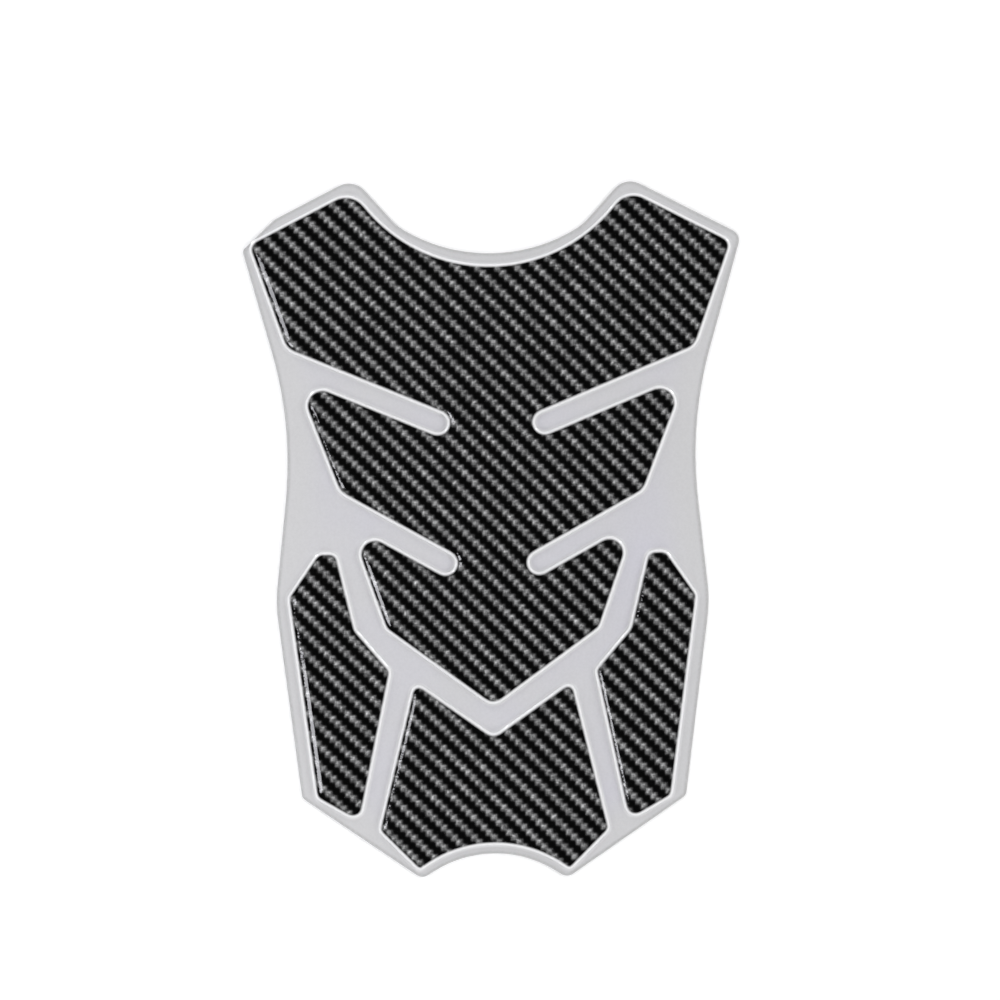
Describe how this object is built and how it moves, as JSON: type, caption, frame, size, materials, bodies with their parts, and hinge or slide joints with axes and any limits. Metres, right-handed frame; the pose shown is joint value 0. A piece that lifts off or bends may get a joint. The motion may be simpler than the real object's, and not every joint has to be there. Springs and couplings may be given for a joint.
{
  "type": "motorcycle tank pad sticker",
  "caption": "Stick-on fuel tank protector pad: a flat pale film with scooped ends that carries raised glossy gel panels with a carbon-look weave, parted by angled channels.",
  "frame": {"origin": "middle of the pad's outline, on the adhesive underside of the film", "axes": "+Z out of the printed side, +Y to the top of the pad with the two peaks, +X to its right as seen from above"},
  "size_m": [0.1432, 0.2001, 0.0022],
  "materials": {
    "film": "satin pale grey vinyl",
    "carbon_gel": "glossy clear gel over a black and grey carbon print"
  },
  "bodies": {
    "root": {"base_film": "film", "main_gel_panel": "carbon_gel", "left_gel_panel": "carbon_gel", "right_gel_panel": "carbon_gel", "lower_gel_panel": "carbon_gel"}
  },
  "joints": []
}
